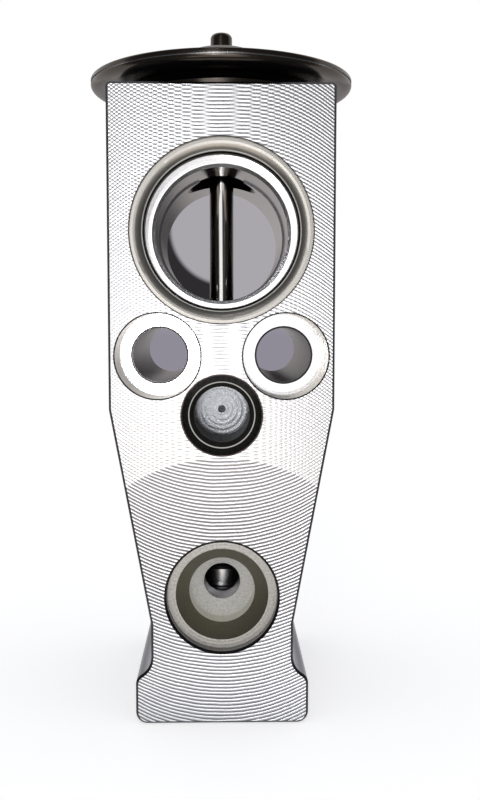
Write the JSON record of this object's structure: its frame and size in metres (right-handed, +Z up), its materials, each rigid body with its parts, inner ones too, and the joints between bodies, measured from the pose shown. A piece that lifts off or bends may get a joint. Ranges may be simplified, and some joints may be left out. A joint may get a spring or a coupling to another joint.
{
  "type": "thermostatic expansion valve",
  "caption": "Block-type thermostatic expansion valve: milled aluminium block with suction passage, liquid ports and bolt holes, dark round head, sensing rod, ball and spring inside.",
  "frame": {"origin": "centre of the block's flat foot, on the axis of the rod and the adjusting screw", "axes": "+Z up from the foot to the head, -Y out of the front face with the tapped hole, +X right seen from the front"},
  "size_m": [0.0344, 0.0344, 0.0871],
  "materials": {
    "block_aluminium": "milled, bright",
    "head_black_nickel": "black nickel plated, glossy",
    "rod_steel": "polished",
    "ball_steel": "polished",
    "inner_steel": "turned",
    "spring_steel": "drawn wire",
    "screw_brass": "turned",
    "seal_rubber": "matt"
  },
  "bodies": {
    "valve_body": {"valve_block": "block_aluminium", "head_base": "head_black_nickel", "head_cover": "head_black_nickel", "charge_plug": "head_black_nickel", "diaphragm": "inner_steel", "head_seal_ring": "seal_rubber", "rod_seal_ring": "seal_rubber", "rod_seal_retainer": "inner_steel", "superheat_spring": "spring_steel"},
    "valve_train": {"pressure_plate": "inner_steel", "sensing_rod": "rod_steel", "push_pin": "rod_steel", "valve_ball": "ball_steel", "ball_carrier": "inner_steel", "damper_ring": "spring_steel"},
    "screw_seal": {"adjusting_screw_seal": "seal_rubber"},
    "screw": {"adjusting_screw": "screw_brass"}
  },
  "joints": [
    {"name": "valve_stroke", "type": "slide", "parent": "valve_body", "child": "valve_train", "axis": [0, 0, -1], "range_m": [0, 0.0009], "stiffness_N_per_m": 500, "springref_m": -0.002, "deforming": ["superheat_spring"]},
    {"name": "screw_travel", "type": "slide", "parent": "valve_body", "child": "screw_seal", "axis": [0, 0, 1], "range_m": [-0.0005, 0.0005]},
    {"name": "screw_turn", "type": "hinge", "parent": "screw_seal", "child": "screw", "pos_m": [0, 0, 0], "axis": [0, 0, 1], "range_deg": [-183, 183]}
  ],
  "couplings": [
    {"joint": "screw_turn", "follows": "screw_travel", "rad_per_m": 6283.2}
  ]
}
